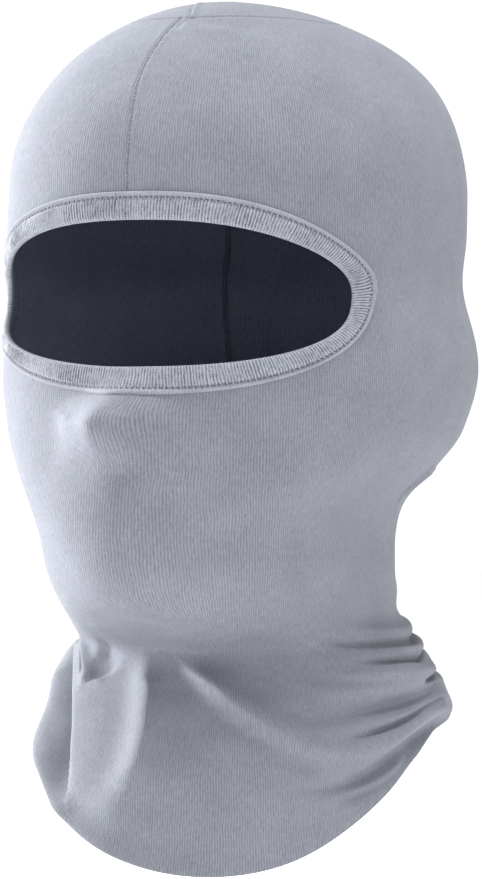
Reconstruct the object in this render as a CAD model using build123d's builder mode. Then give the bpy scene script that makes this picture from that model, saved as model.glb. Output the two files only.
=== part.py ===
from build123d import *
import os
from math import acos, cos, exp, hypot, pi, radians, sin, sqrt

# Balaclava worn over a head. Millimetres, +Z up, the face looks towards -Y, +X is the wearer's left.
# The origin is the middle of the head, midway between the ears at the level of the eye opening.

os.makedirs("parts", exist_ok=True)

# cloth and trim
cloth = 0.8  # knit thickness
binding_lift = 0.8  # how far the binding stands out of the panel
binding_depth = -1.6  # and how far in
panel_gap = 0.35  # between the panel's edge and the binding
join_width = 0.6
join_height = 0.35
seam_height = 1.2  # serged seam allowance standing inside the cloth
seam_half_width = 2.2
seam_gap = 0.1  # so that the allowance lies against the cloth without cutting into it
thread_radius = 0.2
stitch_length = 2.4
thread_gap = 0.08

# crown
crown_base = 35  # level where the sides start to close over
crown_top = 104.5
crown_forward = 14  # how far the crown's middle leans forward

# level, depth in front, depth behind, half width, squareness in front, squareness behind,
# distance of the back seams from the middle
levels = [
    (-222, 90, 95, 75, 2.2, 2.2, 54),  # below the hem, cut away
    (-185, 84, 95, 73, 2.2, 2.2, 54),  # skirt over the shoulders
    (-162, 75, 93, 71.5, 2.2, 2.1, 52),
    (-150, 68, 92, 70, 2.1, 2.1, 50),
    (-140, 60, 86, 68.5, 2.1, 2.1, 48),
    (-131, 57, 78, 65.5, 2.0, 2.0, 45),
    (-125, 60, 71, 60, 2.0, 2.0, 43),  # tucked in under the chin
    (-118, 77, 63, 56.5, 2.0, 2.0, 41),
    (-110, 93, 55, 56, 2.0, 2.0, 40),  # chin
    (-100, 101, 50, 57, 2.1, 2.0, 39),
    (-86, 104, 49, 57, 2.3, 2.1, 38),  # nape
    (-75, 103, 55, 60, 2.5, 2.1, 40),
    (-63, 99, 76, 69, 2.4, 2.1, 43),
    (-50, 96, 92, 76, 2.3, 2.2, 45),  # jaw and the base of the skull
    (-26, 93.5, 101, 80, 2.3, 2.3, 47),  # over the ears
    (3, 92, 97, 75, 2.5, 2.2, 46),
    (20, 91.5, 100, 76, 2.5, 2.2, 46),
    (35, 91, 102, 76.5, 2.4, 2.15, 46),
    (52, 91, 102, 76.5, 2.4, 2.15, 45),  # from here the crown closes over
    (68, 91, 102, 76.5, 2.4, 2.15, 43),
    (80, 91, 102, 76.5, 2.4, 2.15, 40),
    (89, 91, 102, 76.5, 2.4, 2.15, 36),
    (96, 91, 102, 76.5, 2.4, 2.15, 30),
]
crown_levels = [99.5, 102, 103.7]  # of the crown, above the seam
crown_lap = 0.4  # the crown's edge runs down inside the thickness of the back strip
crown_thin = 0.15

# nose
nose_out = 20
nose_level = -46
nose_half_width = 13
nose_up = 8
nose_down = 14

# eye opening, as seen from the front
eye_half_width = 68
eye_middle = -3
eye_up = 26
eye_down = 25.5
eye_droop = 3.5  # the two ends sit lower than the middle
eye_square = 2.5
eye_full = 2.9  # the upper outer quarter on the wearer's left is squarer
eye_low = 1.8  # and the lower one on the wearer's right is rounder
binding_width = 9
binding_side = 3.3  # the same width as it looks from the front at the two ends

# seams
forehead_wander = 3.0
forehead_seam_low = 33
seam_pitch = 4
binding_pitch = 3.4
thread_low = -140
stitch_share = 0.8  # the top stitching runs this far across the binding
join_at = -4  # where the two ends of the binding are joined, across from the middle

# hem, as seen from the side: distance forward or back, level
hem_turn = 20  # the skirt sits turned a little on the shoulders
hem_path = [
    (-150, -216), (-110, -211), (-87, -203), (-70, -191), (-52, -178.5), (-27, -164),
    (-10, -158), (13, -152.5), (35, -150), (60, -158), (85, -174), (110, -186), (150, -190),
]

band_points = 24
ring_points = 24
outline_points = 64
level_step = 5.3


def row_at(level):
    """The table above, read smoothly between its levels."""
    k = max(i for i in range(len(levels) - 1) if levels[i][0] <= level or i == 0)
    low, high = levels[k], levels[k + 1]
    gap = high[0] - low[0]
    t = (level - low[0]) / gap
    values = [level]
    for j in range(1, 7):
        slopes = []
        for i in (k, k + 1):
            before = levels[max(i - 1, 0)]
            after = levels[min(i + 1, len(levels) - 1)]
            slopes.append((after[j] - before[j]) / (after[0] - before[0]) * gap)
        p, q = low[j], high[j]
        values.append(
            p * (2 * t**3 - 3 * t**2 + 1) + slopes[0] * (t**3 - 2 * t**2 + t)
            + q * (3 * t**2 - 2 * t**3) + slopes[1] * (t**3 - t**2)
        )
    return tuple(values)


lowest = levels[0][0]
steps = round((levels[-1][0] - lowest) / level_step)
rows = [row_at(lowest + (levels[-1][0] - lowest) * i / steps) for i in range(steps + 1)]


def crown_share(level, top):
    """How much of the full depth and width is left as the crown closes."""
    rise = min(max((level - crown_base) / (top - crown_base), 0), 1)
    return sqrt(max(1 - rise**2, 0))


def at(row, angle, inset):
    """The point at an angle from straight ahead, on the cloth's face moved in by the inset."""
    level, front, back, side, front_square, back_square = row[:6]
    share = crown_share(level, crown_top - inset)
    c = cos(angle)
    s = sin(angle)
    n = front_square if c > 0 else back_square
    depth = ((front if c > 0 else back) - inset) * share
    r = (abs(c / depth) ** n + abs(s / ((side - inset) * share)) ** n) ** (-1 / n)
    x = r * s
    y = -r * c - crown_forward * (1 - share) ** 2
    if c > 0:
        reach = nose_down if level < nose_level else nose_up
        y -= nose_out * exp(-((x / nose_half_width) ** 2) - ((level - nose_level) / reach) ** 2)
    return (x, y)


def seam_angle(row):
    """Where the back seam crosses this level."""
    low, high = pi / 2, pi
    for _ in range(30):
        middle = (low + high) / 2
        if at(row, middle, 0)[0] > row[6]:
            low = middle
        else:
            high = middle
    return low


def band(rows, start, end, outer, inner):
    """A strip of cloth through the levels, from one angle round to another at each level."""
    faces = []
    for row in rows:
        first, last = start(row), end(row)
        angles = [first + (last - first) * i / band_points for i in range(band_points + 1)]
        with BuildSketch(Plane.XY.offset(row[0])) as sketch:
            with BuildLine():
                face_side = Spline(*[at(row, a, outer) for a in angles])
                head_side = Spline(*[at(row, a, inner) for a in angles])
                Line(face_side @ 0, head_side @ 0)
                Line(face_side @ 1, head_side @ 1)
            make_face()
        faces.append(sketch.sketch.faces()[0])
    with BuildPart() as strip:
        loft(sections=faces, ruled=True)
    return strip.part


def crown_form(inset):
    """The solid under the crown piece, above the seam that runs round it."""
    faces = []
    for level in [levels[-1][0] - crown_lap] + [v for v in crown_levels if v < crown_top - inset - 0.3]:
        row = (level,) + levels[-1][1:]
        with BuildSketch(Plane.XY.offset(level)) as sketch:
            with BuildLine():
                Spline(*[at(row, 2 * pi * i / ring_points, inset) for i in range(ring_points)], periodic=True)
            make_face()
        faces.append(sketch.sketch.faces()[0])
    with BuildPart() as form:
        loft(sections=faces + [Vertex(0, -crown_forward, crown_top - inset)])
    return form.part


def skin_point(angle, level, inset=0):
    x, y = at(row_at(level), angle, inset)
    return Vector(x, y, level)


def skin_normal(angle, level):
    """The way out of the cloth."""
    round_it = skin_point(angle + 0.01, level) - skin_point(angle - 0.01, level)
    up_it = skin_point(angle, level + 0.3) - skin_point(angle, level - 0.3)
    return round_it.cross(up_it).normalized()


def angle_for(x, level):
    """The angle at which the front of the cloth is this far across."""
    low, high = -1.75, 1.75
    for _ in range(30):
        middle = (low + high) / 2
        if at(row_at(level), middle, 0)[0] < x:
            low = middle
        else:
            high = middle
    return low


def squareness(across, up):
    """How square the eye opening is in this quarter of it."""
    if up > 0:
        return eye_full if across > 0 else eye_square
    return eye_square if across > 0 else eye_low


def eye_outline_at(t, share):
    """A place on the eye opening's rim: its angle and level, this share of the way across the binding."""
    c = cos(t)
    s = sin(t)
    wide = eye_half_width + binding_side * share
    high = (eye_up if s > 0 else eye_down) + binding_width * share
    n = squareness(c, s)
    x = wide * (1 if c > 0 else -1) * abs(c) ** (2 / n)
    level = eye_middle + high * (1 if s > 0 else -1) * abs(s) ** (2 / n)
    level -= eye_droop * (x / wide) ** 2
    return (angle_for(x, level), level)


cone_tip = Vector(0, -20, eye_middle)
cone_near = -28
cone_far = -135


def eye_cone():
    """A cone from inside the head round the binding, which cuts the panel nearly squarely."""
    share = 1 + panel_gap / binding_width
    rim = [eye_outline_at(2 * pi * (i + 0.5) / outline_points, share) for i in range(outline_points)]
    rim = [skin_point(*place) for place in rim]
    faces = []
    for plane_y in (cone_near, cone_far):
        with BuildSketch(Plane.XZ.offset(-plane_y)) as sketch:
            with BuildLine():
                hits = [cone_tip + (p - cone_tip) * ((plane_y - cone_tip.Y) / (p.Y - cone_tip.Y)) for p in rim]
                Spline(*[(hit.X, hit.Z) for hit in hits], periodic=True)
            make_face()
        faces.append(sketch.sketch.faces()[0])
    with BuildPart() as cone:
        loft(sections=faces, ruled=True)
    return cone.part


def below_hem():
    """Everything under the curved hem."""
    turned = Plane(origin=(0, 0, 0), x_dir=(-sin(radians(hem_turn)), cos(radians(hem_turn)), 0),
                   z_dir=(cos(radians(hem_turn)), sin(radians(hem_turn)), 0))
    with BuildPart() as low:
        with BuildSketch(turned):
            with BuildLine():
                Spline(*hem_path)
                Polyline(hem_path[0], (-150, -260), (150, -260), hem_path[-1])
            make_face()
        extrude(amount=150, both=True)
    return low.part


def ridge(chosen, place):
    """A seam allowance inside the cloth, through the levels, along the angle that place gives."""
    faces = []
    for row in chosen:
        middle = place(row)
        x, y = at(row, middle, cloth)
        reach = seam_half_width / hypot(x, y)
        near = [at(row, a, cloth + seam_gap) for a in (middle - reach, middle, middle + reach)]
        far = [at(row, a, cloth + seam_height) for a in (middle + reach, middle - reach)]
        with BuildSketch(Plane.XY.offset(row[0])) as sketch:
            with BuildLine():
                Polyline(*near, *far, close=True)
            make_face()
        faces.append(sketch.sketch.faces()[0])
    with BuildPart() as part:
        loft(sections=faces, ruled=True)
    return part.part


def forehead_angle(row):
    """The forehead seam wanders a little to the wearer's right on its way up."""
    return -forehead_wander / 91 * exp(-(((row[0] - 80) / 22) ** 2))


def stitches(points, pitch):
    """Short threads laid end to end along a path."""
    run = [0]
    for p, q in zip(points, points[1:]):
        run.append(run[-1] + (q - p).length)
    places = []
    for i in range(int(run[-1] / pitch)):
        at_run = (i + 0.5) * pitch
        k = max(j for j in range(len(run) - 1) if run[j] <= at_run)
        p, q = points[k], points[k + 1]
        middle = p + (q - p) * ((at_run - run[k]) / (run[k + 1] - run[k]))
        places.append(Plane(origin=middle, z_dir=(q - p).normalized()).location)
    with BuildPart() as thread:
        with Locations(*places):
            Cylinder(thread_radius, stitch_length)
    return thread.part


def on_skin(angle, level):
    """A point just clear of the cloth, where a thread's middle lies."""
    return skin_point(angle, level) + skin_normal(angle, level) * (thread_radius + thread_gap)


def on_binding(t, lift):
    """A point on the binding's needle line, on either of its faces."""
    middle, outer = (eye_outline_at(t, share) for share in (0.5, 1))
    p = skin_point(*middle) + skin_normal(*middle) * lift
    q = skin_point(*outer) + skin_normal(*outer) * lift
    return p + (q - p) * (2 * stitch_share - 1)


def binding_strip():
    """The folded strip, solid through its layers, from its join right round to its join."""
    faces = []
    first = pi - acos((abs(join_at) / eye_half_width) ** (eye_square / 2)) + 0.0005
    last = first + 2 * pi - 0.001
    for i in range(outline_points + 1):
        t = first + (last - first) * i / outline_points
        edge, middle, outer = [eye_outline_at(t, share) for share in (0, 0.5, 1)]
        fold = skin_point(*edge)
        normals = [skin_normal(*place) for place in (edge, middle, outer)]
        across = skin_point(*outer) - fold
        side = (across - normals[0] * across.dot(normals[0])).normalized()
        out = normals[0]

        def flat(place, normal, lift):
            p = skin_point(*place) + normal * lift - fold
            return (p.dot(side), p.dot(out))

        n0, n1, n2 = normals
        corners = [flat(outer, n2, binding_lift), flat(middle, n1, binding_lift)]
        corners += [flat(edge, n0, binding_lift), (-0.7, 0), (-0.7, -cloth)]
        corners += [flat(edge, n0, binding_depth), flat(middle, n1, binding_depth)]
        corners += [flat(outer, n2, binding_depth)]
        with BuildSketch(Plane(origin=fold, x_dir=side, z_dir=side.cross(out))) as sketch:
            with BuildLine():
                Polyline(*corners, close=True)
            make_face()
        faces.append(sketch.sketch.faces()[0])
    with BuildPart() as strip:
        loft(sections=faces, ruled=True)
    return strip.part


under = below_hem()

front_rows = rows[:-1] + [row_at(levels[-1][0] - crown_lap - 0.1)]
with BuildPart() as front_panel:
    add(band(front_rows, lambda row: -seam_angle(row), seam_angle, 0, cloth))
    add(under, mode=Mode.SUBTRACT)
    add(eye_cone(), mode=Mode.SUBTRACT)

with BuildPart() as back_panel:
    add(crown_form(crown_thin))
    add(crown_form(cloth - crown_thin), mode=Mode.SUBTRACT)
    add(band(rows, seam_angle, lambda row: 2 * pi - seam_angle(row), 0, cloth))
    add(under, mode=Mode.SUBTRACT)

with BuildPart() as eye_binding:
    add(binding_strip())

with BuildPart() as binding_join_seam:
    faces = []
    for share in (0.02, 0.35, 0.68, 0.98):
        level = eye_middle + eye_up + binding_width * share
        angle = angle_for(join_at, level)
        out = skin_normal(angle, level)
        foot = skin_point(angle, level) + out * binding_lift
        up_it = (skin_point(angle, level + 0.3) - skin_point(angle, level - 0.3)).normalized()
        with BuildSketch(Plane(origin=foot, x_dir=up_it.cross(out), z_dir=up_it)) as sketch:
            with Locations((0, join_height / 2 + 0.02)):
                Rectangle(join_width, join_height)
        faces.append(sketch.sketch.faces()[0])
    loft(sections=faces, ruled=True)

forehead_rows = [row for row in rows if forehead_seam_low <= row[0] <= levels[-1][0] - 4]
with BuildPart() as forehead_seam:
    add(ridge(forehead_rows, forehead_angle))

with BuildPart() as back_seam_left:
    add(ridge(rows, seam_angle))
    add(under, mode=Mode.SUBTRACT)
    add(band(rows[-2:], lambda row: 0.04, lambda row: seam_angle(row) - 0.08, cloth + seam_gap, cloth + seam_height))

with BuildPart() as back_seam_right:
    mirror(back_seam_left.part, about=Plane.YZ)
    add(under, mode=Mode.SUBTRACT)

forehead_path = [on_skin(forehead_angle(row), row[0]) for row in forehead_rows[2:]]
with BuildPart() as forehead_seam_thread:
    add(stitches(forehead_path, seam_pitch))

corner = seam_angle(levels[-1])
over_path = [on_skin(corner * i / 24, levels[-1][0]) for i in range(1, 24)]
down_path = [on_skin(seam_angle(row), row[0]) for row in reversed(rows[:-1]) if row[0] > thread_low]
with BuildPart() as back_seam_left_thread:
    add(stitches(over_path + down_path, seam_pitch))

with BuildPart() as back_seam_right_thread:
    mirror(back_seam_left_thread.part, about=Plane.YZ)

rim = [2 * pi * i / outline_points for i in range(outline_points + 1)]
clear = thread_radius + thread_gap
with BuildPart() as binding_topstitch:
    add(stitches([on_binding(t, binding_lift + clear) for t in rim], binding_pitch))

with BuildPart() as binding_looper_thread:
    add(stitches([on_binding(t, binding_depth - clear) for t in rim], binding_pitch))

for name, piece in (
    ("front_panel", front_panel),
    ("back_panel", back_panel),
    ("eye_binding", eye_binding),
    ("binding_join_seam", binding_join_seam),
    ("forehead_seam", forehead_seam),
    ("back_seam_left", back_seam_left),
    ("back_seam_right", back_seam_right),
    ("forehead_seam_thread", forehead_seam_thread),
    ("back_seam_left_thread", back_seam_left_thread),
    ("back_seam_right_thread", back_seam_right_thread),
    ("binding_topstitch", binding_topstitch),
    ("binding_looper_thread", binding_looper_thread),
):
    piece.part.label = name
    export_step(piece.part, "parts/" + name + ".step")
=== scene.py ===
import bpy
import numpy as np
from math import cos, pi, radians, sin
from mathutils import Matrix, Vector


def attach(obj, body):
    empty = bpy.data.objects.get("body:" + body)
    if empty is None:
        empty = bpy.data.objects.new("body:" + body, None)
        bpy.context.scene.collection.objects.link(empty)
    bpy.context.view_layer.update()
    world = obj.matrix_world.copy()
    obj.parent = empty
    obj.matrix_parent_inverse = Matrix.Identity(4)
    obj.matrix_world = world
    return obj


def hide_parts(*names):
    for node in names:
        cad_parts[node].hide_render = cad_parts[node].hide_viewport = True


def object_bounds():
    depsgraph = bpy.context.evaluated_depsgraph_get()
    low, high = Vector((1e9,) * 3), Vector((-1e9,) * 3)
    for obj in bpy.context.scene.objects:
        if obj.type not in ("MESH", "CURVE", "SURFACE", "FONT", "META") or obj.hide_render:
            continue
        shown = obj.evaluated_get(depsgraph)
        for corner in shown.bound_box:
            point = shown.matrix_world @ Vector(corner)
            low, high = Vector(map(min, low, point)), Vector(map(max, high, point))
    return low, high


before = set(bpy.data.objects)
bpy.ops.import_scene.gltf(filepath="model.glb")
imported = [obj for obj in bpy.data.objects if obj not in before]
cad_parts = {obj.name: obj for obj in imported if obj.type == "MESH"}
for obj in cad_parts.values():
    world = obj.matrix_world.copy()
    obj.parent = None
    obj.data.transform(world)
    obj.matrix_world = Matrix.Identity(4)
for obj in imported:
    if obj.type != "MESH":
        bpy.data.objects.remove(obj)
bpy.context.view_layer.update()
DETAIL = 1.0
MM = 0.001

# ---------------------------------------------------------------- the form under the cloth
# The same form as the frame's solids, in millimetres: +Z up, the face looks along -Y.
# level, depth in front, depth behind, half width, squareness front and behind, seam's distance
LEVELS = np.array([
    (-222, 90, 95, 75, 2.2, 2.2, 54), (-185, 84, 95, 73, 2.2, 2.2, 54),
    (-162, 75, 93, 71.5, 2.2, 2.1, 52), (-150, 68, 92, 70, 2.1, 2.1, 50),
    (-140, 60, 86, 68.5, 2.1, 2.1, 48), (-131, 57, 78, 65.5, 2.0, 2.0, 45),
    (-125, 60, 71, 60, 2.0, 2.0, 43), (-118, 77, 63, 56.5, 2.0, 2.0, 41),
    (-110, 93, 55, 56, 2.0, 2.0, 40), (-100, 101, 50, 57, 2.1, 2.0, 39),
    (-86, 104, 49, 57, 2.3, 2.1, 38), (-75, 103, 55, 60, 2.5, 2.1, 40),
    (-63, 99, 76, 69, 2.4, 2.1, 43), (-50, 96, 92, 76, 2.3, 2.2, 45),
    (-26, 93.5, 101, 80, 2.3, 2.3, 47), (3, 92, 97, 75, 2.5, 2.2, 46),
    (20, 91.5, 100, 76, 2.5, 2.2, 46), (35, 91, 102, 76.5, 2.4, 2.15, 46),
    (52, 91, 102, 76.5, 2.4, 2.15, 45), (68, 91, 102, 76.5, 2.4, 2.15, 43),
    (80, 91, 102, 76.5, 2.4, 2.15, 40), (89, 91, 102, 76.5, 2.4, 2.15, 36),
    (96, 91, 102, 76.5, 2.4, 2.15, 30)], float)
CROWN_BASE, CROWN_TOP, CROWN_FORWARD = 35.0, 104.5, 14.0
CROWN_SEAM = 96.0
NOSE_OUT, NOSE_LEVEL, NOSE_WIDE, NOSE_UP, NOSE_DOWN = 20.0, -46.0, 13.0, 8.0, 14.0
EYE_WIDE, EYE_MIDDLE, EYE_UP, EYE_DOWN, EYE_DROOP = 68.0, -3.0, 26.0, 25.5, 3.5
EYE_SQUARE, EYE_FULL, EYE_LOW = 2.5, 2.9, 1.8  # usual, up on the wearer's left, down on their right
BINDING, BINDING_SIDE = 9.0, 3.3
# the hem's level at distances back along a line that is turned from straight back
HEM_TURN = radians(20)
HEM = np.array([(-150, -216), (-110, -211), (-87, -203), (-70, -191), (-52, -178.5), (-27, -164), (-10, -158),
                (13, -152.5), (35, -150), (60, -158), (85, -174), (110, -186), (150, -190)], float)
CLOTH = 0.8  # thickness
ROUND = 68.0  # millimetres to a radian, for measuring across folds
WALE = 86.0  # millimetres to a radian, for the knit
FOREHEAD = 91.0  # millimetres from the axis to the forehead
SKIRT_LEVEL = -112.0  # rows of the grid are level above this, and spread down to the hem below it
CALM_BY_BINDING = 0.9  # how much of every fold the binding holds flat
TUCK_LEAN = radians(25.5)  # the tuck on the crown runs up in a plane that faces this way
HOLLOW_DEEP, HOLLOW_TURN, HOLLOW_LEVEL = 0.026, -1.2, -17.0  # beside the eye on the wearer's right


def bell(x, middle, width):
    """A smooth bump of height 1."""
    return np.exp(-((x - middle) / width) ** 2)


def ease(x, low, high):
    t = np.clip((x - low) / (high - low), 0, 1)
    return t * t * (3 - 2 * t)


def table_at(level):
    """The table, read smoothly between its levels: one row of six values for each level."""
    level = np.clip(np.asarray(level, float), LEVELS[0, 0], LEVELS[-1, 0])
    k = np.clip(np.searchsorted(LEVELS[:, 0], level, side="right") - 1, 0, len(LEVELS) - 2)
    low, high = LEVELS[k], LEVELS[k + 1]
    gap = (high - low)[..., :1]
    t = (level[..., None] - low[..., :1]) / gap
    before, after = LEVELS[np.maximum(k - 1, 0)], LEVELS[np.minimum(k + 2, len(LEVELS) - 1)]
    rise_low = (high - before)[..., 1:] / (high - before)[..., :1] * gap
    rise_high = (after - low)[..., 1:] / (after - low)[..., :1] * gap
    p, q = low[..., 1:], high[..., 1:]
    return (p * (2 * t**3 - 3 * t**2 + 1) + rise_low * (t**3 - 2 * t**2 + t)
            + q * (3 * t**2 - 2 * t**3) + rise_high * (t**3 - t**2))


def form(angle, level):
    """Points on the form for angles from straight ahead (+ to the wearer's left) and levels."""
    angle, level = np.broadcast_arrays(np.asarray(angle, float), np.asarray(level, float))
    front, back, side, nf, nb, _ = np.moveaxis(table_at(level), -1, 0)
    rise = np.clip((level - CROWN_BASE) / (CROWN_TOP - CROWN_BASE), 0, 1)
    share = np.sqrt(np.maximum(1 - rise**2, 1e-8))
    c, s = np.cos(angle), np.sin(angle)
    n = np.where(c > 0, nf, nb)
    depth = np.where(c > 0, front, back)
    r = (np.abs(c / depth) ** n + np.abs(s / side) ** n) ** (-1 / n) * share
    r = r * (1 - HOLLOW_DEEP * bell(angle, HOLLOW_TURN, 0.35) * bell(level, HOLLOW_LEVEL, 11))
    x = r * s
    y = -r * c - CROWN_FORWARD * (1 - share) ** 2
    reach = np.where(level < NOSE_LEVEL, NOSE_DOWN, NOSE_UP)
    y = y - np.where(c > 0, NOSE_OUT * bell(x, 0, NOSE_WIDE) * bell(level, NOSE_LEVEL, reach), 0)
    return np.stack([x, y, level + 0 * x], -1)


def bisect(test, low, high, shape):
    """The value between low and high at which test turns from true to false."""
    low, high = np.full(shape, float(low)), np.full(shape, float(high))
    for _ in range(34):
        middle = (low + high) / 2
        yes = test(middle)
        low, high = np.where(yes, middle, low), np.where(yes, high, middle)
    return low


def seam_angle(level):
    """How far round from straight ahead the back seams run."""
    level = np.asarray(level, float)
    reach = table_at(level)[..., 5]
    return bisect(lambda a: form(a, level)[..., 0] > reach, pi / 2, pi, level.shape)


def angle_for(x, level):
    """The angle at which the front of the form is this far to the side."""
    return bisect(lambda a: form(a, level)[..., 0] < x, -1.75, 1.75, np.shape(x))


def eye_square(across, up):
    """How square the eye opening is in this quarter of it."""
    above = np.where(across > 0, EYE_FULL, EYE_SQUARE)
    return np.where(up > 0, above, np.where(across > 0, EYE_SQUARE, EYE_LOW))


def natural_spline(points, x):
    """The curve through some points with no bend at its two ends."""
    px, py = points[:, 0], points[:, 1]
    n, h = len(px), np.diff(px)
    a = np.eye(n)
    b = np.zeros(n)
    for i in range(1, n - 1):
        a[i, i - 1:i + 2] = h[i - 1], 2 * (h[i - 1] + h[i]), h[i]
        b[i] = 6 * ((py[i + 1] - py[i]) / h[i] - (py[i] - py[i - 1]) / h[i - 1])
    m = np.linalg.solve(a, b)
    k = np.clip(np.searchsorted(px, x) - 1, 0, n - 2)
    u, v, hk = px[k + 1] - x, x - px[k], h[k]
    return (m[k] * u**3 + m[k + 1] * v**3) / (6 * hk) + (py[k] / hk - m[k] * hk / 6) * u \
        + (py[k + 1] / hk - m[k + 1] * hk / 6) * v


def hem_level(angle):
    """The level of the hem, found by closing in on where the form meets the hem's curve."""
    level = np.full(np.shape(angle), -180.0)
    for _ in range(40):
        p = form(angle, level)
        back = -p[..., 0] * sin(HEM_TURN) + p[..., 1] * cos(HEM_TURN)
        level = 0.5 * level + 0.5 * natural_spline(HEM, back)
    return level


# ---------------------------------------------------------------- folds
def smooth_line(points, count=60):
    """A curve through the points, as closely spaced points."""
    p = np.array(points, float)
    p = np.vstack([2 * p[0] - p[1], p, 2 * p[-1] - p[-2]])
    out = []
    for i in range(1, len(p) - 2):
        for t in np.linspace(0, 1, max(count // (len(p) - 3), 4), endpoint=False):
            bend = 2 * p[i - 1] - 5 * p[i] + 4 * p[i + 1] - p[i + 2]
            twist = 3 * p[i] - p[i - 1] - 3 * p[i + 1] + p[i + 2]
            out.append(0.5 * (2 * p[i] + (p[i + 1] - p[i - 1]) * t + bend * t**2 + twist * t**3))
    return np.array(out + [p[-2]])


def across(line, angle, level):
    """Signed distance from a line (+ on its left as it runs) and how far along the line it is, 0 to 1."""
    q = np.stack([np.radians(line[:, 0]) * ROUND, line[:, 1]], -1)
    x, y = angle * ROUND, level
    best = np.full(np.shape(x), 1e9)
    dist, along = np.zeros(np.shape(x)), np.zeros(np.shape(x))
    total = len(q) - 1
    for i in range(total):
        d = q[i + 1] - q[i]
        t = np.clip(((x - q[i, 0]) * d[0] + (y - q[i, 1]) * d[1]) / (d @ d), 0, 1)
        ex, ey = x - q[i, 0] - t * d[0], y - q[i, 1] - t * d[1]
        e = np.hypot(ex, ey)
        closer = e < best
        best = np.where(closer, e, best)
        side = np.sign(d[0] * ey - d[1] * ex)
        dist = np.where(closer, side * e, dist)
        along = np.where(closer, (i + t) / total, along)
    return dist, along


def fold(angle, level, points, width, height, fade, lean=0.0):
    """A ridge (height above 0) or valley (below) along a line. lean makes its left side steeper."""
    d, t = across(smooth_line(points), angle, level)
    w = width * np.where(d > 0, 1 - lean, 1 + lean)
    ends = ease(t, -0.001, fade[0]) * (1 - ease(t, 1 - fade[1], 1.001))
    return height * bell(d, 0, w) * ends


def noise(angle, level, size, seed):
    """Slow even waves over the cloth, from a few fixed directions."""
    rng = np.random.default_rng(seed)
    out = 0
    for _ in range(7):
        way, phase, stretch = rng.uniform(0, 2 * pi), rng.uniform(0, 2 * pi), rng.uniform(0.7, 1.5)
        around = np.round(np.cos(way) * ROUND * 2 * pi / (size * stretch))
        out = out + np.sin(angle * around + level * np.sin(way) * 2 * pi / (size * stretch) + phase)
    return out / 7


# A fold is: the points along it, in degrees round from straight ahead and millimetres of level,
# then its half width, its height, how much of its two ends fades out, and its lean.
# rolls of cloth stacked at the wearer's left shoulder, fanning out towards the front
LEFT_ROLLS = [
    ([(150, -118), (118, -122), (96, -122.5), (72, -121), (56, -118)], 2.4, 1.5, (0.1, 0.5)),
    ([(150, -122), (114, -125.8), (86, -126.2), (60, -124.5), (38, -119)], 1.1, -3.0, (0.1, 0.6)),
    ([(150, -125), (114, -128.6), (92, -128.6), (66, -127.5)], 1.5, 1.1, (0.1, 0.5)),
    ([(150, -127), (112, -131), (90, -131.2), (73, -131.5), (60, -130)], 1.0, -3.4, (0.1, 0.45)),
    ([(150, -131), (116, -135), (96, -136), (76, -136), (61, -136), (48, -134)], 2.3, 2.2, (0.1, 0.5)),
    ([(150, -135), (122, -138.6), (106, -139.2), (92, -140.5)], 1.1, -3.8, (0.1, 0.5)),
    ([(104, -139), (78, -141), (63, -141.5), (50, -140.5), (38, -136)], 2.6, 1.5, (0.2, 0.5)),
    ([(124, -141.5), (104, -144.2), (86, -145.5), (70, -147.2), (56, -149), (44, -149), (32, -146.5)],
     3.2, -4.0, (0.06, 0.55), 0.1),
    ([(124, -145), (100, -147.2), (84, -149.3), (68, -152.5), (54, -155)], 1.8, 1.8, (0.08, 0.5)),
    ([(120, -146.5), (96, -148.8), (84, -151.2), (74, -153.8), (66, -155.6), (57, -158), (48, -160.2)],
     1.15, -2.6, (0.06, 0.45)),
    ([(118, -149.5), (100, -151.5), (82, -156), (68, -160.5), (52, -162.5), (40, -161), (30, -157)],
     3.0, 2.6, (0.1, 0.3)),
    ([(112, -153), (94, -157.5), (80, -162.5), (68, -167.5), (56, -172), (44, -174.5), (34, -175)],
     3.4, -3.4, (0.1, 0.4)),
    ([(84, -163.5), (70, -170.5), (60, -174.5), (48, -177)], 1.8, 1.2, (0.2, 0.4)),
    ([(88, -162), (74, -170.5), (64, -175.5), (53, -179), (42, -181.5)], 2.0, -1.6, (0.15, 0.4)),
]
# the diagonal fold running down from under the chin
CHIN_FOLD = [
    ([(2, -126), (6, -131), (10, -135.5), (15, -140.5), (21, -145.5), (28, -151), (36, -156.5),
      (46, -160.5), (60, -161)],
     4.4, 5.4, (0.5, 0.25), -0.45),
]
# the middle of the skirt, the lip of its channel, and its side, which falls in one smooth curve
SKIRT = [
    ([(6, -134), (8, -146), (10, -158), (9, -172)], 7.0, -1.2, (0.25, 0.4)),
    ([(-86, -126), (-76, -133), (-68, -140), (-60, -149), (-52, -158), (-43, -167), (-35, -174),
      (-27, -181), (-18, -187)],
     5.0, 1.7, (0.4, 0.1)),
    ([(-112, -124), (-92, -130), (-80, -137)], 8.0, -2.8, (0.3, 0.3)),
    ([(-112, -150), (-90, -151), (-74, -152)], 5.0, 1.3, (0.3, 0.25)),
    ([(-112, -166), (-90, -167), (-70, -168)], 7.0, -1.8, (0.3, 0.25)),
]
# the rolled fold and the pucker behind and below the chin
PUCKER = [
    ([(-84, -123), (-66, -122.5), (-54, -121.5), (-44, -120.5)], 2.2, -3.0, (0.25, 0.25)),
    ([(-66, -126), (-56, -124.5), (-50, -125), (-46, -129), (-42, -134), (-38, -138)],
     1.1, -1.9, (0.15, 0.2)),
    ([(-50, -123.5), (-45, -127), (-42, -131.5), (-38, -136.5), (-34, -138.8)], 3.2, 1.8, (0.25, 0.15)),
    ([(-34, -126), (-31, -130), (-28, -134), (-26, -138)], 6.5, -2.6, (0.35, 0.35)),
    ([(-36, -141.5), (-32, -139), (-29, -138.5), (-26, -136)], 1.1, 0.8, (0.3, 0.3)),
]
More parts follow.
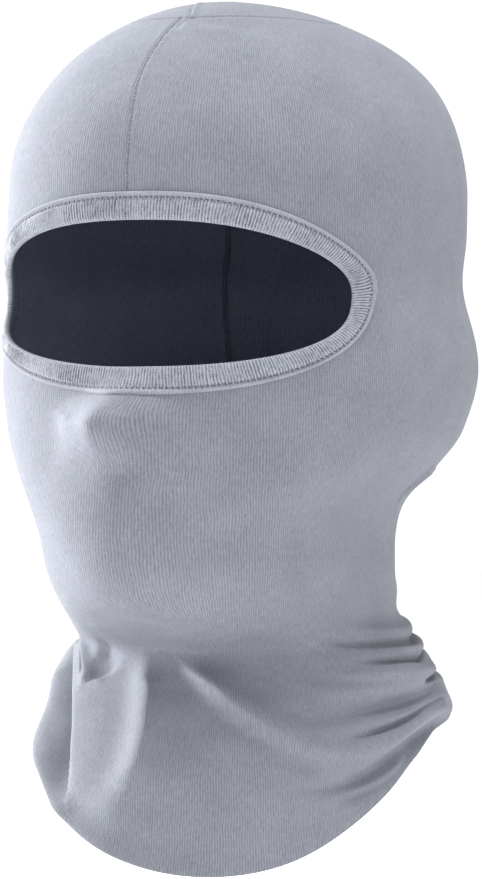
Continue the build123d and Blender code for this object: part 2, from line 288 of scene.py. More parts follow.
# jaw, neck and ear
NECK = [
    ([(124, -59), (110, -62.5), (104, -66), (100, -70), (96, -74.5), (91, -79)],
     1.7, -1.5, (0.3, 0.4), 0.3),
    ([(118, -62), (108, -65), (102, -69), (98, -73)], 2.6, 1.2, (0.3, 0.4)),
    ([(-120, -60), (-106, -64), (-100, -70), (-95, -75)], 2.4, -1.6, (0.2, 0.4), 0.3),
    ([(92, -84), (96, -92), (94, -100)], 5.0, -1.1, (0.3, 0.3)),
    ([(70, -100), (88, -106), (110, -110), (140, -112)], 4.0, -0.9, (0.3, 0.3)),
    ([(-70, -104), (-90, -110), (-120, -113)], 4.0, -1.2, (0.3, 0.3)),
]
# the wearer's right shoulder and the sides of the back, which are a guess
RIGHT_SHOULDER = [
    ([(-156, -123), (-130, -126), (-108, -126), (-92, -125)], 2.4, -2.0),
    ([(-158, -131), (-132, -133), (-112, -134), (-96, -136)], 2.6, -2.2),
    ([(-158, -140), (-136, -142), (-116, -145), (-100, -150)], 3.0, -2.2),
    ([(-176, -112), (-150, -108), (-125, -104), (-108, -100)], 2.8, -1.3),
    ([(176, -110), (152, -106), (128, -103), (110, -98)], 2.8, -1.3),
]
# the nape, in degrees right round from 0 to 360, which is a guess
NAPE = [
    ([(150, -84), (170, -88), (192, -88), (212, -83)], 3.4, -1.8),
    ([(146, -96), (168, -101), (194, -100), (214, -95)], 3.4, -1.9),
    ([(150, -111), (172, -115), (190, -114), (210, -110)], 3.6, -1.7),
    ([(158, -124), (166, -140), (170, -158), (172, -176)], 7.0, 2.6),
    ([(200, -122), (196, -138), (194, -156), (195, -174)], 7.0, 2.4),
    ([(180, -128), (182, -145), (181, -165)], 6.0, -1.8),
]
UPRIGHT_CREST = [(-16, -116), (-11, -124), (-8, -131), (-6, -138), (-3, -144), (-1, -151), (0, -157),
                 (0, -164), (-1, -171), (-4, -180), (-10, -192), (-20, -205)]
CHANNEL = [(-66, -125.5), (-60, -129), (-55, -134), (-45.5, -143), (-38.5, -149.5), (-32.5, -157),
           (-28, -166), (-24.5, -175), (-21, -184)]


def lifted(angle, level, table, *ends):
    """How far all the folds of a table lift the cloth, in millimetres."""
    return sum(fold(angle, level, *row, *ends) for row in table)


def skirt_bulge(a, z):
    """The skirt bulges between the channel and a long upright fold that is steep on one side only."""
    crest, _ = across(smooth_line(UPRIGHT_CREST), a, z)
    d, t = across(smooth_line(CHANNEL), a, z)
    tall = ease(-z, 124, 142) * (1 - ease(-z, 166, 190)) * (1 - ease(np.degrees(a), 20, 40))
    part = np.clip(d / (np.abs(d) + np.abs(crest) + 1e-6), 0, 1)
    bulge = tall * np.where(crest > 0, -8.0 * (1 - part) + 6.6 * part, 6.6 * bell(crest, 0, 8.0)) * (d > 0)
    reach = ease(t, 0.02, 0.35) * (1 - ease(t, 0.6, 1.001))
    return bulge + reach * np.where(d <= 0, -11.0 * bell(d, 0, 9.5), -3.5 * bell(d, 0, 2.2))


def face_relief(a, z):
    """Stretched from the nose to the chin, the cloth comes to a blunt edge down the middle."""
    x = 100 * np.sin(a)
    face = (np.abs(a) < 1.2) * ease(-z, 44, 62) * (1 - ease(-z, 100, 120))
    edge = 3.6 * np.exp(-np.abs((x - 3) / 16) ** 1.7) - 0.9 * bell(np.abs(x - 3), 36, 14)
    bridge = bell(x, -1, 5.5) * bell(z, -47, 7)
    cheek = 4.2 * bell(x, -17, 9) * bell(z, -47, 12)
    lip = -2.0 * bell(x, 0, 12) * bell(z, -60, 6.5)
    return face * edge + (np.abs(a) < 1) * (bridge + cheek + lip)


def side_relief(a, z):
    """A little fuller at the back of the crown and at the side of the neck."""
    aside = bell(np.abs(np.degrees(a)), 118, 26)
    return aside * (3.0 * bell(z, 76, 20) + 1.8 * bell(z, -109, 5) - 3.8 * bell(z, -133.5, 3.5))


def folds(angle, level, hem):
    """How far the cloth stands off the form, in millimetres."""
    a, z = angle, level
    h = 0.5 * noise(a, z, 46, 3) * ease(-z, 95, 125) + 0.12 * noise(a, z, 17, 5)
    left = ease(np.degrees(a), 50, 95) * (1 - ease(np.degrees(a), 150, 175))
    h += left * 1.2 * ease(-z, 114, 121) * (1 - ease(-z, 150, 160))
    for table in (LEFT_ROLLS, CHIN_FOLD, SKIRT, PUCKER, NECK):
        h += lifted(a, z, table)
    h += skirt_bulge(a, z) + face_relief(a, z) + side_relief(a, z)
    h += lifted(a, z, RIGHT_SHOULDER, (0.25, 0.4))
    h += lifted(np.where(a < 0, a + 2 * pi, a), z, NAPE, (0.3, 0.35))
    # the edge at the hem turns out a little
    up = z - hem
    return h + 0.9 * bell(np.maximum(up, 0), 0, 3.5) - 0.4 * bell(up, 9, 4)


def seam_detail(level, lateral, depth=0.36, width=0.7):
    """The furrow along a seam with the small slanted puckers that the thread pulls up beside it."""
    beside = np.abs(lateral)
    pucker = 0.14 * np.sin(2 * pi * (level + 0.8 * beside) / 2.6) * bell(beside, 1.3, 1.1)
    return pucker + 0.08 * bell(beside, 1.6, 0.9) - depth * bell(lateral, 0, width)


def wander(level):
    """How far the forehead seam strays to the wearer's right, in radians."""
    return -3.2 / FOREHEAD * bell(level, 80, 22) * (level > 20)


def unit(vectors):
    return vectors / (np.linalg.norm(vectors, axis=-1, keepdims=True) + 1e-12)


def outward(points):
    """Normals of a grid of points, all turned away from the inside of the head."""
    n = unit(np.cross(np.gradient(points, axis=1), np.gradient(points, axis=0)))[:, 1:-1]
    points = points[:, 1:-1]
    aside = (points[..., :2] * n[..., :2]).sum(-1, keepdims=True)
    flip = np.sign(aside + 0.35 * n[..., 2:] * (points[..., 2:] > 60))
    return n * np.where(flip == 0, 1, flip)


def normal_of(surface_at, a, z):
    """The normal of a surface at angles and levels, from small steps each way."""
    da = surface_at(a + 0.004, z) - surface_at(a - 0.004, z)
    dz = surface_at(a, z + 0.3) - surface_at(a, z - 0.3)
    return unit(np.cross(da, dz))


def form_normal(a, z):
    return normal_of(form, a, z)


def eye_share(points):
    """Where points are across the binding: below 0 in the opening, 0 at the fold, 1 at its outer edge."""

    x, z = points[..., 0], points[..., 2]
    out = np.full(x.shape, 9.0)
    for share in np.linspace(2, -1, 61):
        wide = EYE_WIDE + BINDING_SIDE * share
        middle = EYE_MIDDLE - EYE_DROOP * (x / wide) ** 2
        high = np.where(z > middle, EYE_UP, EYE_DOWN) + BINDING * share
        n = eye_square(x, z - middle)
        inside = np.abs(x / wide) ** n + np.abs((z - middle) / high) ** n < 1
        out = np.where(inside & (points[..., 1] < 0), share, out)
    return out


def cloth_at(a, z):
    """Points on the finished cloth, which the binding holds flat beside it."""
    p = form(a, z)
    h = folds(a, z, hem_level(a)) * (1 - CALM_BY_BINDING * (1 - ease(eye_share(p), 1.0, 3.0)))
    return p + form_normal(a, z) * h[..., None]


def surface(a, z):
    """The finished cloth and its normals at angles and levels."""
    a, z = np.broadcast_arrays(np.asarray(a, float), np.asarray(z, float))
    return cloth_at(a, z), normal_of(cloth_at, a, z)


# ---------------------------------------------------------------- the cloth as one grid
def spread(parts):
    """Values from the first to the last with a given count in each stretch."""
    out = [np.linspace(low, high, count, endpoint=False) for low, high, count in parts]
    return np.append(np.concatenate(out), parts[-1][1])


def scaled(count):
    return int(count * DETAIL)


def wrap(angle):
    return (angle + pi) % (2 * pi) - pi


# shares of the way round, close together by the back seams and by the forehead seam
front_u = spread([(-1, -0.985, 3), (-0.985, -0.035, scaled(130)), (-0.035, 0.035, scaled(30)),
                  (0.035, 0.985, scaled(130)), (0.985, 1, 3)])
back_u = spread([(0, 0.05, 3), (0.05, 0.95, scaled(66)), (0.95, 1, 3)])[1:-1]
dome = np.sin(np.radians(spread([(88.8, 61.4, scaled(20)), (61.4, 0, scaled(62))])))
crown_levels = CROWN_BASE + (CROWN_TOP - CROWN_BASE) * dome
seam_row = int(np.argmin(np.abs(crown_levels - CROWN_SEAM)))
crown_levels[seam_row] = CROWN_SEAM
head_levels = np.linspace(CROWN_BASE, SKIRT_LEVEL, scaled(98))[1:]
skirt_share = np.linspace(0, 1, scaled(150))[1:, None]
level_rows = np.concatenate([crown_levels, head_levels])
front_count = len(front_u)


def ring(level):
    """The angles along one level row, front columns and then back columns."""
    seam = float(seam_angle(np.array(min(level, CROWN_SEAM))))
    front = front_u * seam + wander(level) * (1 - np.abs(front_u))
    return np.concatenate([front, seam + (2 * pi - 2 * seam) * back_u])


def skirt_angles(levels):
    """The angles of the rows that slope with the hem, whose levels change along them."""
    seam = seam_angle(levels)
    front, back = seam[:, :front_count], seam[:, front_count:]
    return np.concatenate([front_u * front, back + (2 * pi - 2 * back) * back_u], 1)


angle = np.array([ring(value) for value in level_rows])
skirt = np.repeat(ring(SKIRT_LEVEL)[None], len(skirt_share), 0)
for _ in range(3):
    skirt_levels = SKIRT_LEVEL + (hem_level(wrap(skirt)) - SKIRT_LEVEL) * skirt_share
    skirt = skirt_angles(skirt_levels)
columns = angle.shape[1]
level = np.vstack([np.repeat(level_rows[:, None], columns, 1), skirt_levels])
angle = np.vstack([angle, skirt])
rows = len(angle)
wrapped = wrap(angle)
base = form(wrapped, level)
normal = outward(np.concatenate([base[:, -1:], base, base[:, :1]], 1))
normal[0] = (0, 0, 1)

hem_row = hem_level(wrapped[-1])
lift = folds(wrapped, level, np.repeat(hem_row[None], rows, 0))
rim_share = eye_share(base)
lift *= 1 - CALM_BY_BINDING * (1 - ease(rim_share, 1.0, 3.0))
# forehead seam
rise = np.clip((level - CROWN_BASE) / (CROWN_TOP - CROWN_BASE), 0, 1)
lateral = (wrapped - wander(level)) * FOREHEAD * np.sqrt(np.clip(1 - rise**2, 0.05, 1))
on_forehead = ease(level, 29, 32) * (level <= CROWN_SEAM + 0.5) * (np.abs(lateral) < 9)
lift += on_forehead * seam_detail(level, lateral)
# back seams, and round the crown
seam_at = seam_angle(np.minimum(level, CROWN_SEAM))
radius = np.hypot(base[..., 0], base[..., 1])
beside = (np.abs(wrapped) - seam_at) * radius
lift += (level < CROWN_SEAM) * (np.abs(beside) < 9) * seam_detail(level, beside, 0.4)
lift -= (np.abs(wrapped) < seam_at) * 0.05 * bell(level, CROWN_SEAM, 0.5)
# the short tuck over the top of the crown, which leans back to the wearer's right
at_seam = np.interp(0.0, wrapped[seam_row], radius[seam_row])
lean = TUCK_LEAN - np.arcsin(np.clip(at_seam / np.maximum(radius, 1) * sin(TUCK_LEAN), 0, 1))
tuck = (wrapped - lean) * radius
on_top = (level > CROWN_SEAM) * (np.abs(wrapped) < 1) * (1 - ease(level, 103, 104.3))
lift += on_top * (0.5 * bell(tuck, 0.6, 0.8) - 0.45 * bell(tuck, -0.6, 0.6))
lift += fold(wrapped, level, [(1, 96.5), (14, 94), (32, 91.5), (52, 90)], 2.4, -0.4, (0.1, 0.6))
lift += fold(wrapped, level, [(2, 93), (14, 90.5), (30, 88.5)], 1.6, 0.6, (0.1, 0.6))
points = base + normal * lift[..., None]


# ---------------------------------------------------------------- meshes
def make_mesh(name, verts, faces, uv=None, materials=()):
    mesh = bpy.data.meshes.new(name)
    corners = [tuple(v) for v in np.asarray(verts) * MM]
    mesh.from_pydata(corners, [], [tuple(int(i) for i in f) for f in faces])
    for material in materials:
        mesh.materials.append(material)
    if uv is not None:
        layer = mesh.uv_layers.new(name="knit")
        loops = np.zeros(len(mesh.loops), int)
        mesh.loops.foreach_get("vertex_index", loops)
        layer.data.foreach_set("uv", np.asarray(uv, float)[loops].ravel())
    mesh.polygons.foreach_set("use_smooth", np.ones(len(mesh.polygons), bool))
    mesh.update()
    ob = bpy.data.objects.new(name, mesh)
    bpy.context.scene.collection.objects.link(ob)
    return ob


uv_grid = np.stack([angle * WALE, level], -1)
ids = np.arange(rows * columns).reshape(rows, columns)


def cut_out(cells):
    """Some cells of the grid: points, faces, knit coordinates, and the points' numbers in the grid."""
    corners = []
    for i, j in cells:
        j2 = (j + 1) % columns
        corners.append((ids[i, j], ids[i + 1, j], ids[i + 1, j2], ids[i, j2]))
    used, inverse = np.unique(np.array(corners), return_inverse=True)
    return points.reshape(-1, 3)[used], inverse.reshape(-1, 4), uv_grid.reshape(-1, 2)[used], used


def close_crown(verts, faces, uv, used):
    """Closes the small hole at the top of the crown with a fan."""
    first = np.where(used < columns)[0]
    verts = np.vstack([verts, verts[first].mean(0) + (0, 0, 0.02)])
    uv = np.vstack([uv, uv[first].mean(0)])
    order = {int(v): i for i, v in enumerate(used) if v < columns}
    fan = [(order[j], order[(j + 1) % columns], len(verts) - 1) for j in range(columns)]
    return verts, [tuple(f) for f in faces] + fan, uv


def cells_of(first_row, last_row, first_column, last_column):
    return [(i, j) for i in range(first_row, last_row) for j in range(first_column, last_column)]


next_share = np.roll(rim_share, -1, 1)
cell_share = np.minimum.reduce([rim_share[:-1], rim_share[1:], next_share[:-1], next_share[1:]])
UNDER_BINDING = 0.22  # the front panel ends under the binding, this share of the way across it
front_cells = [c for c in cells_of(seam_row, rows - 1, 0, front_count - 1) if cell_share[c] > UNDER_BINDING]
back_cells = cells_of(seam_row, rows - 1, front_count - 1, columns) + cells_of(0, seam_row, 0, columns)


# ---------------------------------------------------------------- materials
def nodes_of(name):
    material = bpy.data.materials.new(name)
    material.use_nodes = True
    tree = material.node_tree
    return material, tree, tree.nodes["Principled BSDF"]


def link(tree, a, b):
    tree.links.new(a, b)


def math_node(tree, operation, a, b=None):
    node = tree.nodes.new("ShaderNodeMath")
    node.operation = operation
    for socket, value in zip(node.inputs, (a, b)):
        if value is None:
            continue
        if isinstance(value, (int, float)):
            socket.default_value = value
        else:
            link(tree, value, socket)
    return node.outputs[0]


def ramp(tree, fac, stops):
    node = tree.nodes.new("ShaderNodeValToRGB")
    elements = node.color_ramp.elements
    while len(elements) < len(stops):
        elements.new(0.5)
    for element, (place, colour) in zip(elements, stops):
        element.position = place
        element.color = (*colour, 1)
    link(tree, fac, node.inputs[0])
    return node.outputs[0]


def noise_node(tree, vector, scale, detail=2.0, rough=0.5):
    node = tree.nodes.new("ShaderNodeTexNoise")
    node.inputs["Scale"].default_value = scale
    node.inputs["Detail"].default_value = detail
    node.inputs["Roughness"].default_value = rough
    link(tree, vector, node.inputs["Vector"])
    return node.outputs["Fac"]


def map_range(tree, value, to_low, to_high, low=0.0, high=1.0):
    node = tree.nodes.new("ShaderNodeMapRange")
    settings = {"From Min": low, "From Max": high, "To Min": to_low, "To Max": to_high}
    for socket, number in settings.items():
        node.inputs[socket].default_value = number
    link(tree, value, node.inputs["Value"])
    return node.outputs[0]


def bumped(tree, shader, height, millimetres):
    bump = tree.nodes.new("ShaderNodeBump")
    bump.inputs["Strength"].default_value = 1.0
    bump.inputs["Distance"].default_value = millimetres * MM
    link(tree, height, bump.inputs["Height"])
    link(tree, bump.outputs[0], shader.inputs["Normal"])


def knit(name, dark, light, rib=0.95, rib_bump=0.07, sheen=0.02, rough=0.82, rib_shade_contrast=1.0, ribs_until=None):
    """Fine stretch knit: upright wales with small loops along them, faint mottling and a soft nap, with the
    ribs' shade and highlight painted into its colour.
    """
    material, tree, shader = nodes_of(name)
    course = 0.62

    def add(a, b):
        return math_node(tree, "ADD", a, b)

    def times(a, b):
        return math_node(tree, "MULTIPLY", a, b)

    uv = tree.nodes.new("ShaderNodeUVMap")
    uv.uv_map = "knit"
    split = tree.nodes.new("ShaderNodeSeparateXYZ")
    link(tree, uv.outputs[0], split.inputs[0])
    # a slow wobble so that the wales aren't ruled lines
    wobble = noise_node(tree, uv.outputs[0], 0.12, 3)
    u = add(split.outputs[0], times(math_node(tree, "SUBTRACT", wobble, 0.5), 1.6))
    wale = math_node(tree, "SINE", times(u, 2 * pi / rib))
    loops = math_node(tree, "SINE", add(times(split.outputs[1], 2 * pi / course), times(wale, 1.2)))
    # single wales catch the light here and there, so the ribs are uneven along their length; in the colour
    # this is a painted highlight on single wales
    streak_place = tree.nodes.new("ShaderNodeCombineXYZ")
    link(tree, times(u, 1.15 / rib), streak_place.inputs[0])
    link(tree, times(split.outputs[1], 0.42), streak_place.inputs[1])
    streak = noise_node(tree, streak_place.outputs[0], 1.0, 4, 0.7)
    weave = add(add(times(wale, 0.36), times(loops, 0.14)),
                times(math_node(tree, "SUBTRACT", streak, 0.5), 1.9))
    if ribs_until is not None:
        weave = times(weave, map_range(tree, split.outputs[1], 1, 0.15, ribs_until, ribs_until + 0.5))
    weave = add(weave, 0.5)
    place = tree.nodes.new("ShaderNodeTexCoord").outputs["Object"]
    mottle = noise_node(tree, place, 55, 6, 0.6)
    grain = noise_node(tree, place, 1400)
    # the colour carries the ribs' painted shade and highlight (furrows darker, crests lighter) along with the
    # knit's own random mottle and grain
    rib_shade_and_mottle = add(times(weave, 0.5 * rib_shade_contrast), add(times(mottle, 0.4), times(grain, 0.35)))
    link(tree, ramp(tree, rib_shade_and_mottle, [(0.3, dark), (0.95, light)]), shader.inputs["Base Color"])
    link(tree, map_range(tree, mottle, rough - 0.06, rough + 0.08), shader.inputs["Roughness"])
    bumped(tree, shader, add(weave, times(grain, 0.5)), rib_bump)
    shader.inputs["Sheen Weight"].default_value = sheen
    shader.inputs["Sheen Roughness"].default_value = 0.45
    shader.inputs["Specular IOR Level"].default_value = 0.12
    return material


def thread_look(name, dark, light):
    """Twisted thread, banded along its length, in a dark colour that paints the shade of the stitch holes and
    the grooves the stitches lie in.
    """
    material, tree, shader = nodes_of(name)
    place = tree.nodes.new("ShaderNodeTexCoord")
    wave = tree.nodes.new("ShaderNodeTexWave")
    wave.bands_direction = "DIAGONAL"
    wave.inputs["Scale"].default_value = 900
    wave.inputs["Distortion"].default_value = 2.0
    link(tree, place.outputs["Object"], wave.inputs["Vector"])
    link(tree, ramp(tree, wave.outputs["Fac"], [(0.2, dark), (0.9, light)]), shader.inputs["Base Color"])
    bumped(tree, shader, wave.outputs["Fac"], 0.04)
    shader.inputs["Roughness"].default_value = 0.6
    shader.inputs["Sheen Weight"].default_value = 0.2
    return material


def floor_look(name, colour):
    material, tree, shader = nodes_of(name)
    place = tree.nodes.new("ShaderNodeTexCoord")
    speck = noise_node(tree, place.outputs["Object"], 40)
    shade = tuple(c * 0.985 for c in colour)
    link(tree, ramp(tree, speck, [(0.3, colour), (0.7, shade)]), shader.inputs["Base Color"])
    shader.inputs["Roughness"].default_value = 0.9
    return material


cloth_look = knit("knit_outer", (0.128, 0.135, 0.156), (0.232, 0.244, 0.278))
# the inner face is the same knit as the outer one; its darker colour is painted shade inside the hood
inside_shade_look = knit("knit_inner_painted_shade", (0.095, 0.108, 0.146), (0.175, 0.195, 0.250),
                   rib_bump=0.05, sheen=0.0, rough=0.9)
# the binding's stronger rib contrast paints deeper shade and brighter highlight on its ribs
binding_look = knit("knit_binding", (0.092, 0.098, 0.115), (0.330, 0.345, 0.385),
                    rib_bump=0.05, rib=1.1, rib_shade_contrast=1.4, ribs_until=6.9)
# the seam allowances are the same knit; their darker colour is painted shade where they hang inside the hood
allowance_shade_look = knit("seam_allowance", (0.066, 0.076, 0.104), (0.12, 0.135, 0.175),
                      rib_bump=0.06, sheen=0.0, rough=0.9)
# the stitches' dark colour is painted shade of their holes and grooves
painted_shade_thread = thread_look("painted_shade_thread", (0.05, 0.055, 0.072), (0.10, 0.108, 0.135))


def solidify(ob, thick):
    mod = ob.modifiers.new("thickness", "SOLIDIFY")
    mod.thickness = thick * MM
    mod.offset = -1
    mod.use_even_offset = False
    # the inner faces take the second material, the inner knit whose darker colour is painted shade
    mod.material_offset = 1
    mod.material_offset_rim = 0


def finish_piece(ob, slot, *nodes):
    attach(ob, "root")
    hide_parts(*nodes)


pieces = {}
for name, cells in (("front_panel", front_cells), ("back_panel", back_cells)):
    verts, faces, uv, used = cut_out(cells)
    if name == "back_panel":
        verts, faces, uv = close_crown(verts, faces, uv, used)
    pieces[name] = make_mesh("cloth_" + name, verts, faces, uv, (cloth_look, inside_shade_look))


# ---------------------------------------------------------------- binding round the eye opening
def rim_point(t, share):
    """Angle and level on the rim at a turn t, this share of the way across the binding."""
    c, s = np.cos(t), np.sin(t)
    wide = EYE_WIDE + BINDING_SIDE * share
    high = np.where(s > 0, EYE_UP, EYE_DOWN) + BINDING * share
    n = eye_square(c, s)
    x = wide * np.sign(c) * np.abs(c) ** (2 / n)
    z = EYE_MIDDLE + high * np.sign(s) * np.abs(s) ** (2 / n) - EYE_DROOP * (x / wide) ** 2
    return angle_for(x, z), z


def even_turns(count):
    """Turns that are evenly spaced along the middle of the binding, starting at its join."""
    t = np.linspace(0, 2 * pi, 2401)
    p = form(*rim_point(t, np.full(t.shape, 0.5)))
    run = np.concatenate([[0], np.cumsum(np.linalg.norm(np.diff(p, axis=0), axis=1))])
    start = np.interp(pi / 2 + 0.03, t, run)
    want = (start + np.arange(count) / count * run[-1]) % run[-1]
    return np.interp(want, run, t), run[-1]


RIBS_PITCH, EDGE_PITCH, LOOP_PITCH = 1.1, 1.15, 1.25
STITCH_SHARE = 0.81  # the stitches run this share of the way across the binding
# (share across, height off the form) from the outer edge over the fold to the inner edge
PROFILE = [(1.03, -0.35), (1.035, 0.25), (1.02, 0.85), (0.985, 1.15), (0.945, 1.22), (0.905, 1.05),
           (0.875, 0.72), (0.83, 0.55), (0.78, 0.56), (0.735, 0.66), (0.70, 0.92), (0.64, 1.10),
           (0.55, 1.18), (0.45, 1.2), (0.35, 1.2), (0.25, 1.18), (0.15, 1.12), (0.07, 0.98), (0.01, 0.7),
           (-0.045, 0.25), (-0.06, -0.3), (-0.04, -0.9), (0.02, -1.4), (0.1, -1.65), (0.25, -1.75),
           (0.5, -1.8), (0.75, -1.78), (0.9, -1.7), (0.98, -1.5), (1.0, -1.2)]
EDGE_UNTIL, STITCHES_UNTIL, RIBS_UNTIL, INSIDE_FROM = 10, 14, 20, 21  # places along the profile
shares, heights = np.array(PROFILE).T
turns, rim_length = even_turns(scaled(1640))


def binding_heights(run, share):
    """The binding's height off the form, with its ribs, its rolled edge and the loops of its stitches."""
    along = np.arange(len(PROFILE))[None]
    # near the forehead seam the ribs fan out at a slant
    slant = bell(run, 4.5, 4.0) * 3.2 * (share - 0.4) * 3
    rib = np.sin(2 * pi * run / RIBS_PITCH + 2.1 * np.sin(2 * pi * run / 37) + slant)
    rib *= ease(share, -0.02, 0.08) * (1 - ease(share, 0.66, 0.74)) * (along < RIBS_UNTIL)
    strength = 0.20 + 0.05 * np.sin(run / 9.0) + 0.03 * np.sin(run / 3.7)
    edge = bell(share, 0.96, 0.05) * (along < EDGE_UNTIL) * np.sin(2 * pi * run / EDGE_PITCH + 9 * share)
    loops = bell(share, STITCH_SHARE, 0.06) * (along < STITCHES_UNTIL)
    loops *= np.sin(2 * pi * run / LOOP_PITCH + 14 * share)
    return heights[None] + rib * strength + 0.10 * edge + 0.2 * loops


def make_binding():
    turn, share = np.meshgrid(turns, shares, indexing="ij")
    run = (np.arange(len(turns)) / len(turns) * rim_length)[:, None]
    a, z = rim_point(turn, share)
    surface_points = form(a, z) + form_normal(a, z) * binding_heights(run, share)[..., None]
    stations, places = turn.shape
    number = np.arange(stations * places).reshape(stations, places)
    after = np.roll(number, -1, 0)
    corners = [number[:, :-1], number[:, 1:], after[:, 1:], after[:, :-1]]
    faces = np.stack(corners, -1).reshape(-1, 4)
    uv = np.stack([np.repeat(run, places, 1), share * BINDING], -1).reshape(-1, 2)
    ob = make_mesh("binding_strip", surface_points.reshape(-1, 3), faces, uv, (binding_look, inside_shade_look))
    # the faces on the binding's inside take the inner knit, whose darker colour is painted shade
    inside = (np.arange(len(faces)) % (places - 1) >= INSIDE_FROM).astype(np.int32)
    ob.data.polygons.foreach_set("material_index", inside)
    return ob


binding = make_binding()


# ---------------------------------------------------------------- threads and strips along a path
CAPSULE = [(-0.5, 0.25, -0.9), (-0.42, 0.8, -0.3), (-0.2, 1.0, 0.1), (0.0, 1.05, 0.2),
           (0.2, 1.0, 0.1), (0.42, 0.8, -0.3), (0.5, 0.25, -0.9)]  # along, thickness, height
CAPSULE_SIDES, CAPSULE_FLAT = 7, 0.8
STRIP = [(-1, -0.2), (-1.02, 0.45), (-0.8, 0.9), (-0.3, 1.05),
         (0.3, 1.05), (0.8, 0.9), (1.02, 0.45), (1, -0.2)]  # across, height


def distances(p):
    return np.concatenate([[0], np.cumsum(np.linalg.norm(np.diff(p, axis=0), axis=1))])


def tube_faces(first, stations, sides):
    """Faces of a closed tube whose vertices run round each station in turn."""
    faces = []
    for i in range(stations - 1):
        for k in range(sides):
            a, b = first + i * sides + k, first + i * sides + (k + 1) % sides
            faces.append((a, b, b + sides, a + sides))
    last = first + (stations - 1) * sides
    return faces + [tuple(range(first, first + sides))[::-1], tuple(range(last, last + sides))]


def capsule(centre, along, out, length, radius, verts, faces):
    """A short thread with rounded ends that dips at both ends into the cloth."""
    side = np.cross(along, out)
    faces += tube_faces(len(verts), len(CAPSULE), CAPSULE_SIDES)
    for s, r, dip in CAPSULE:
        c = centre + along * s * length + out * dip * radius
        for k in range(CAPSULE_SIDES):
            w = 2 * pi * k / CAPSULE_SIDES
            verts.append(c + (side * cos(w) + out * sin(w) * CAPSULE_FLAT) * r * radius)


def resample(p, n, pitch):
    run = distances(p)
    want = np.arange(pitch / 2, run[-1], pitch)
    centres, normals = [np.stack([np.interp(want, run, q[:, k]) for k in range(3)], -1) for q in (p, n)]
    return centres, unit(normals)


def stitch_row(name, p, n, pitch, length, radius, slant, zigzag=False):
    """Stitches at an even pitch along a path, turned by slant degrees, each way in turn in a zigzag."""
    centres, out = resample(p, n, pitch)
    ahead = unit(np.gradient(centres, axis=0))
    verts, faces = [], []
    for i in range(len(centres)):
        side = np.cross(ahead[i], out[i])
        w = radians(slant) * (-1 if zigzag and i % 2 else 1)
        capsule(centres[i], ahead[i] * cos(w) + side * sin(w), out[i], length, radius, verts, faces)
    return make_mesh(name, verts, faces, None, (painted_shade_thread,))


def strip(name, p, n, half, rise, inside, look, wave=0.0):
    """A raised strip along a path: out of the cloth, or hanging inside it."""
    side = np.cross(unit(np.gradient(p, axis=0)), n)
    run = distances(p)
    verts, uv = [], []
    for i in range(len(p)):
        w = 1 + wave * sin(2 * pi * run[i] / 1.6)
        for s, h in STRIP:
            drop = -(CLOTH + rise * h) if inside else rise * h
            verts.append(p[i] + side[i] * s * half * w + n[i] * drop)
            uv.append((s * half, run[i]))
    faces = tube_faces(0, len(p), len(STRIP))
    if not inside:
        faces = [f[::-1] for f in faces]
    return make_mesh(name, verts, faces, uv, (look,))


def allowance(name, p, n):
    return strip(name, p, n, 0.8, 1.1, True, allowance_shade_look, 0.05)


# forehead seam
z_line = np.linspace(32.8, CROWN_SEAM - 0.4, 160)
p, n = surface(wander(z_line), z_line)
forehead_ridge = allowance("allowance_forehead", p, n)
forehead_thread = stitch_row("thread_forehead", p - n * 0.30, n, 1.7, 1.25, 0.15, 26)

# back seams: round the crown from the forehead seam, then down the back of the head
seam_pieces = {}
over_a = np.linspace(0.03, float(seam_angle(np.array(CROWN_SEAM))), 70)[:-1]
NEAR_HEM = -140.0
for side_name, sign in (("left", 1), ("right", -1)):
    low = float(hem_level(sign * seam_angle(np.array(NEAR_HEM))))
    down_z = np.linspace(CROWN_SEAM - 0.5, low + 1.0, 250)
    seam_a = np.concatenate([over_a, seam_angle(down_z)])
    seam_z = np.concatenate([np.full(over_a.shape, CROWN_SEAM), down_z])
    p, n = surface(sign * seam_a, seam_z)
    sunk = np.where(np.arange(len(seam_a)) < len(over_a), 0.9, 0.3)[:, None]
    ridge = allowance("allowance_back_" + side_name, p, n)
    thread = stitch_row("thread_back_" + side_name, p - n * sunk, n, 1.9, 1.35, 0.16, 24)
    seam_pieces[side_name] = (ridge, thread)

# binding's stitching
t_line, _ = even_turns(500)
t_line = np.append(t_line, t_line[0])
a, z = rim_point(t_line, np.full(t_line.shape, STITCH_SHARE))
p, n = form(a, z), form_normal(a, z)
topstitch = stitch_row("thread_topstitch", p + n * 0.72, n, 2.0, 1.45, 0.19, 16)
looper = stitch_row("thread_looper", p - n * 1.95, -n, 2.0, 1.9, 0.2, 35, True)

# binding's join, a thin strip in the dark thread colour, which is painted shade
s_line = np.linspace(0.02, 1.0, 30)
x_join = -4.2 + 0.9 * (s_line - 0.5)
z_join = EYE_MIDDLE + EYE_UP + BINDING * s_line
a = angle_for(x_join, z_join)
p, n = form(a, z_join), form_normal(a, z_join)
lift_join = np.interp(s_line, shares[:19][::-1], heights[:19][::-1])
join = strip("binding_join", p + n * (lift_join[:, None] - 0.05), n, 0.22, 0.16, False, painted_shade_thread)

# ---------------------------------------------------------------- joining the model to the frame
for name, ob in pieces.items():
    solidify(ob, CLOTH)
    finish_piece(ob, "knit", name)
finish_piece(binding, "binding", "eye_binding")
finish_piece(join, "binding", "binding_join_seam")
finish_piece(forehead_ridge, "seam_allowance", "forehead_seam")
finish_piece(forehead_thread, "thread", "forehead_seam_thread")
for side_name, (ridge, thread) in seam_pieces.items():
    finish_piece(ridge, "seam_allowance", "back_seam_" + side_name)
    finish_piece(thread, "thread", "back_seam_" + side_name + "_thread")
finish_piece(topstitch, "thread", "binding_topstitch")
finish_piece(looper, "thread", "binding_looper_thread")

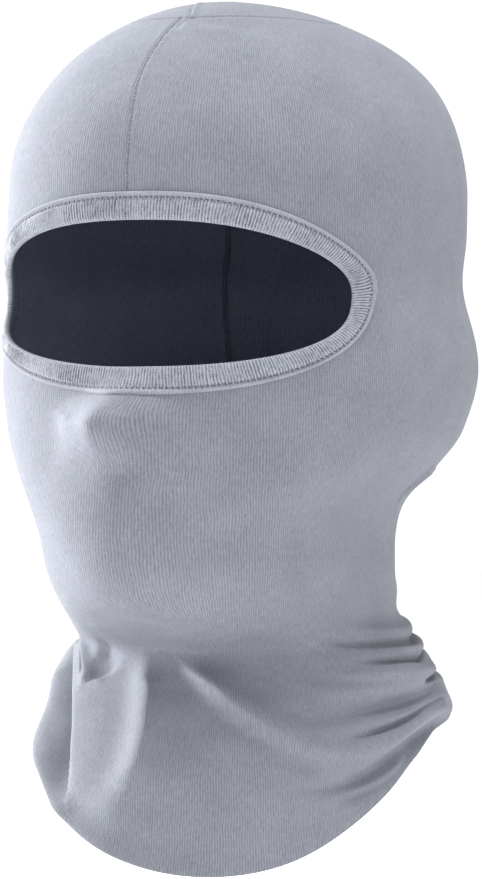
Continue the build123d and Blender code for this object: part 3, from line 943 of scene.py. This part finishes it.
# ---------------------------------------------------------------- floor, world, lights, camera
low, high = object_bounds()
FLOOR_HALF, FLOOR_DROP = 6.0, 0.10
floor_z = low[2] - FLOOR_DROP
corners = [(x * FLOOR_HALF, y * FLOOR_HALF, floor_z) for x, y in ((-1, -1), (1, -1), (1, 1), (-1, 1))]
floor_mesh = bpy.data.meshes.new("floor")
floor_mesh.from_pydata(corners, [], [(0, 1, 2, 3)])
floor_mesh.materials.append(floor_look("floor_white", (0.92, 0.92, 0.93)))
floor = bpy.data.objects.new("floor", floor_mesh)
bpy.context.scene.collection.objects.link(floor)

world = bpy.context.scene.world or bpy.data.worlds.new("world")
bpy.context.scene.world = world
world.use_nodes = True
background = world.node_tree.nodes["Background"]
background.inputs["Color"].default_value = (1.0, 1.0, 1.0, 1)
background.inputs["Strength"].default_value = 1.08

AZIMUTH = radians(25.5)
DISTANCE = 1.5
VIEW_HEIGHT = 0.3196364  # how much of the scene the camera sees from bottom to top, at the hood
to_camera = Vector((sin(AZIMUTH), -cos(AZIMUTH), 0.0))
to_right = Vector((cos(AZIMUTH), sin(AZIMUTH), 0.0))
up = to_camera.cross(to_right)
middle = Vector((0.0, 0.0, -0.053))


def area_light(name, right, front, above, size, power):
    """A round soft light, placed from the hood's middle as the camera sees it."""
    light = bpy.data.lights.new(name, "AREA")
    light.shape = "DISK"
    light.size = size
    light.energy = power
    away = to_right * right + to_camera * front + up * above
    ob = bpy.data.objects.new(name, light)
    ob.location = middle + away
    ob.rotation_euler = (-away).to_track_quat("-Z", "Y").to_euler()
    bpy.context.scene.collection.objects.link(ob)


area_light("key", -1.75, -0.9, 0.45, 0.6, 104)
area_light("rim", 1.75, -0.8, 0.3, 0.8, 4)
area_light("top", 0.1, 0.15, 2.0, 0.9, 50)

camera_data = bpy.data.cameras.new("camera")
camera_data.sensor_fit = "VERTICAL"
camera_data.sensor_height = 24
camera_data.lens = 24 * DISTANCE / VIEW_HEIGHT
camera = bpy.data.objects.new("camera", camera_data)
bpy.context.scene.collection.objects.link(camera)
bpy.context.scene.camera = camera
turned = Matrix((to_right, up, to_camera)).transposed().to_4x4()
camera.matrix_world = Matrix.Translation(middle + to_camera * DISTANCE) @ turned
bpy.context.scene.view_settings.view_transform = "Standard"
